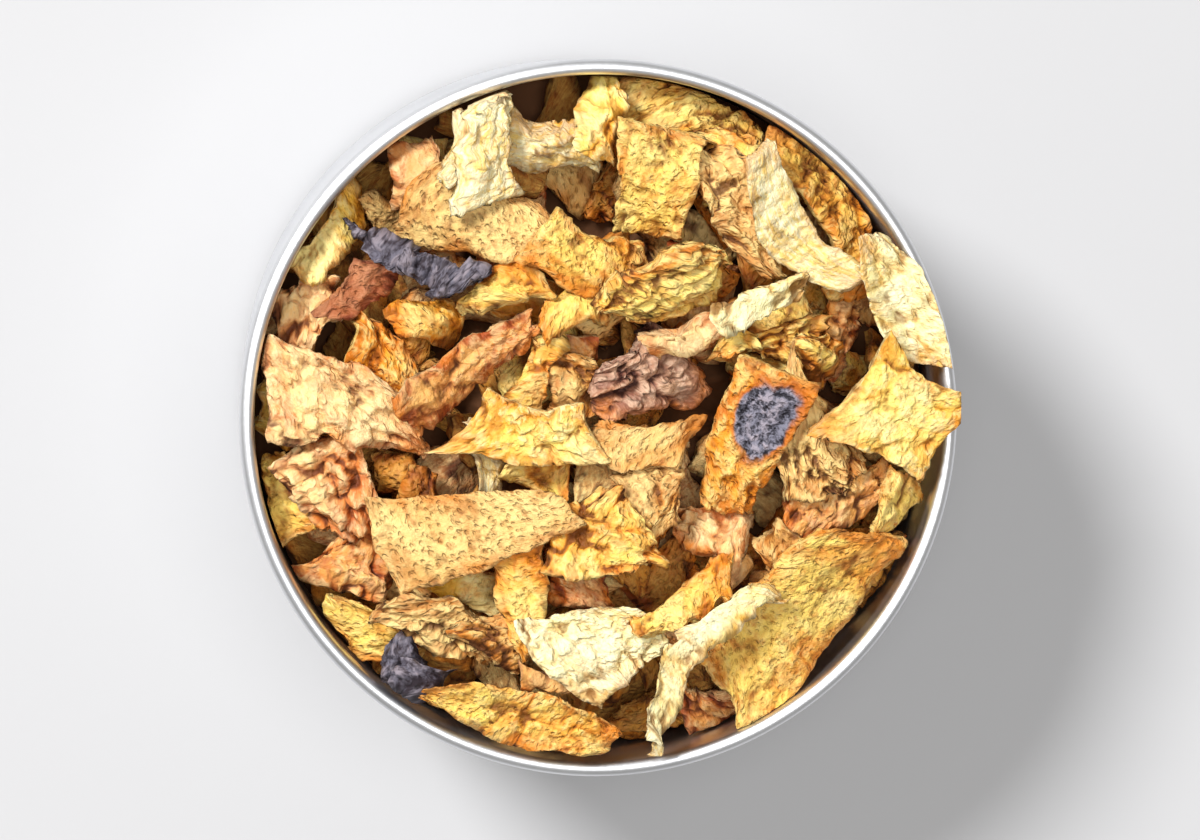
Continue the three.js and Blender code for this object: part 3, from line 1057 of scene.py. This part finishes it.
lay(
    "golden", 22, -22, 26, 12.5, 54, 51, reach=38.2, curl=0.3, tone=0.8, wrinkle=0.5, rock=0.25,
    taper=-0.12, far_slant=-0.5, near_slant=0.35
)
lay("golden", -8.8, -19.6, 13, 4.8, -78, 52, taper=-0.8, cup=0.6, rock=0.3, tone=0.0)
lay("golden", 1, -12.6, 11, 8.4, -15, 53, curl=0.9, wrinkle=1.8, thickness=2.4, tone=0.2, end_belly=0.2)
lay(
    "tan", -14.3, -11.6, 21.5, 9.2, 14, 54, curl=0.3, taper=-0.4, near_slant=-0.1, far_slant=-0.75,
    tone=0.7, wrinkle=0.5, rock=0.3, lean=(0, 10), ragged=0.6
)
lay(
    "pale", 0, -24.6, 14, 10, 20, 55, curl=0.5, taper=-0.3, near_slant=-0.5, end_belly=0.2, rock=0.3,
    tone=1.0, ragged=0.6
)
lay("golden", 9.6, -20.3, 13.5, 5, 32, 56, curl=0.9, cup=0.7, rock=0.3, tone=0.0)
lay("golden", -9, -33, 22.5, 6, -14, 57, belly=0.6, fold=-0.3, curl=0.3, rock=0.3, tone=0.5, ragged=0.5)
lay("pale", 11, -26, 27, 3.6, 54, 58, bow=-0.25, ribs=0.1, cup=0.9, rock=0.25, tone=0.6)


# The peel underneath: the rest of the same goods, filled in first and packed by the weight on it. It is
# seen only in the deepest gaps, so it is one mound with the relief of broken peel.
CRUMB_RELIEF = 2.2
CRUMB_PITCH = 0.35  # lumps per millimetre
CORE_DROP = 0.5  # below where the flakes begin
CORE_RINGS = 40
CORE_TURN = 160


def heap_core():
    """A mound that fills the tin, lumpy on top."""
    profile = [Vector((0, SHEET + PANEL_LIFT + CLEARANCE))]
    profile.append(Vector((heap_room - CORNER, SHEET + PANEL_LIFT + CLEARANCE)))
    profile.append(Vector((heap_room, SHEET + PANEL_LIFT + CORNER)))
    for i in range(CORE_RINGS, -1, -1):
        radius = heap_room * i / CORE_RINGS
        profile.append(Vector((radius, core_height(radius) - CORE_DROP)))
    mesh = turned("peel_core", profile, CORE_TURN)
    for vertex in mesh.vertices:
        radius = math.hypot(vertex.co.x, vertex.co.y) / MM
        if vertex.co.z > CORE_EDGE * MM / 2 and radius < heap_room - 1:
            lumps = pattern.fractal(vertex.co / MM * CRUMB_PITCH, 0.6, 2.0, 4)
            vertex.co.z += CRUMB_RELIEF * MM * lumps
    mesh.materials.append(peel_kinds["russet"])
    return placed("peel_core", mesh)


core = heap_core()
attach(core, "root")
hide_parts("peel_heap")


def gathered(name, meshes):
    """All the flakes of one kind, as one piece."""
    pieces = [placed(name, mesh) for mesh in meshes]
    with bpy.context.temp_override(
        active_object=pieces[0],
        object=pieces[0],
        selected_editable_objects=pieces,
        selected_objects=pieces,
    ):
        bpy.ops.object.join()
    pieces[0].name = name
    return pieces[0]


for kind, meshes in laid.items():
    flakes = gathered(kind + "_flakes", meshes)
    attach(flakes, "root")
    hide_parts("peel_heap")


# The studio: a pale matt floor, one soft key light from the upper left, a weaker one overhead and an
# even glow all round. The camera looks almost straight down, from a little beyond the upper left.
FLOOR_HALF = 3.0  # metres


def pale_floor():
    """The floor that the tin stands on."""
    material, _, shader = new_material("pale floor", Roughness=0.7)
    shader.inputs["Base Color"].default_value = (0.55, 0.55, 0.56, 1)
    mesh = bpy.data.meshes.new("floor")
    corners = [(x * FLOOR_HALF, y * FLOOR_HALF, 0) for x, y in ((-1, -1), (1, -1), (1, 1), (-1, 1))]
    mesh.from_pydata(corners, [], [(0, 1, 2, 3)])
    mesh.materials.append(material)
    floor = placed("floor", mesh)


pale_floor()


def aimed(thing, place, target, across=Vector((1, 0, 0))):
    """Puts a light or camera at a place, facing its target, with its own X axis near to across."""
    back = (place - target).normalized()
    up = back.cross(across).normalized()
    right = up.cross(back)
    turn = Matrix((right, up, back)).transposed().to_4x4()
    thing.matrix_world = Matrix.Translation(place) @ turn


LIGHT_TARGET = 0.04  # metres above the floor


def soft_light(name, place, size, power):
    """A round white light that faces the heap."""
    lamp = bpy.data.lights.new(name, "AREA")
    lamp.shape = "DISK"
    lamp.size = size
    lamp.energy = power
    made = bpy.data.objects.new(name, lamp)
    bpy.context.scene.collection.objects.link(made)
    aimed(made, Vector(place), Vector((0, 0, LIGHT_TARGET)))


soft_light("key", (-1.05, 0.95, 1.5), 0.6, 48)
soft_light("overhead", (0.1, 0.0, 1.5), 0.9, 8)
world = bpy.data.worlds.new("studio")
bpy.context.scene.world = world
world.use_nodes = True
glow = world.node_tree.nodes["Background"]
glow.inputs["Color"].default_value = (1.0, 0.98, 0.95, 1)
glow.inputs["Strength"].default_value = 0.36

CAMERA_LEAN = math.radians(7)  # from straight above
CAMERA_SIDE = (-0.67, 0.74)  # which way it leans
CAMERA_DISTANCE = 0.74
camera_data = bpy.data.cameras.new("camera")
camera = bpy.data.objects.new("camera", camera_data)
bpy.context.scene.collection.objects.link(camera)
bpy.context.scene.camera = camera
camera_data.lens = 200
camera_data.sensor_width = 36
target = Vector((0, 0, tin_high.z))
lean_x, lean_y = (math.sin(CAMERA_LEAN) * share for share in CAMERA_SIDE)
away = Vector((lean_x, lean_y, math.cos(CAMERA_LEAN)))
aimed(camera, target + away * CAMERA_DISTANCE, target)
bpy.context.scene.view_settings.view_transform = "Standard"
bpy.context.scene.view_settings.look = "None"
